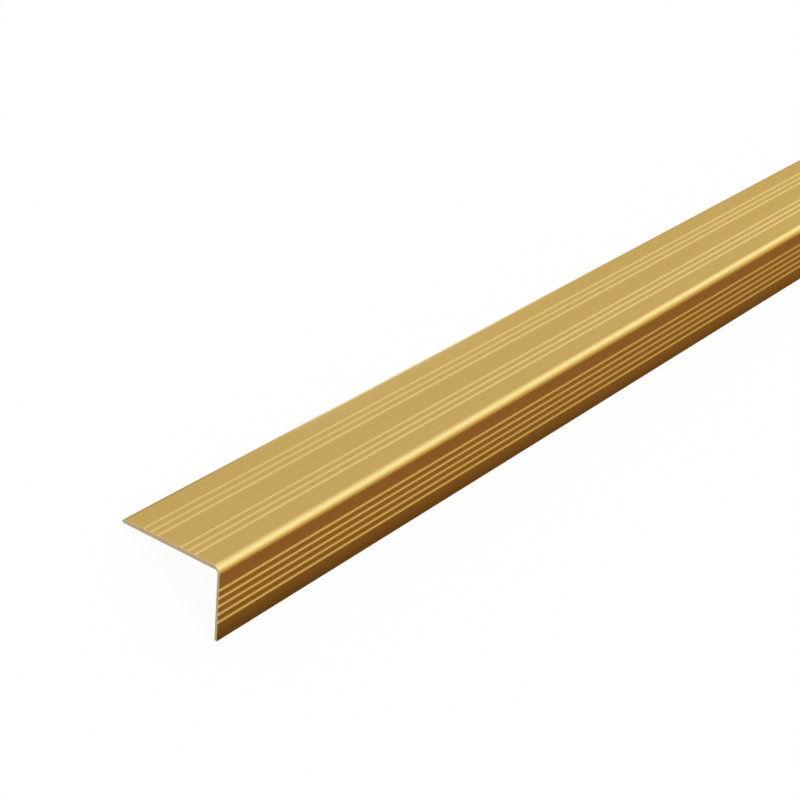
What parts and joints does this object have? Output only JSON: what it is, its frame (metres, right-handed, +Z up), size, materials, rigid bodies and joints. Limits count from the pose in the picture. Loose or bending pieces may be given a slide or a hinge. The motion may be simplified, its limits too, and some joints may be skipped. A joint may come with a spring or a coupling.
{
  "type": "stair nosing",
  "caption": "Ribbed L-shaped stair nosing bar with a rounded nose, extruded in gold anodised aluminium, that covers the front edge of a step.",
  "frame": {"origin": "on the floor under the middle of the bar, midway between the outermost edges of its two legs", "axes": "+X along the bar, +Y from the riser leg towards the tread leg's back edge, +Z up from the floor it lies on"},
  "size_m": [0.9, 0.05, 0.0228],
  "materials": {
    "gold_anodised": "satin gold anodised, with fine lines along the bar and bare sawn ends"
  },
  "bodies": {
    "root": {"stair_nosing": "gold_anodised"}
  },
  "joints": []
}
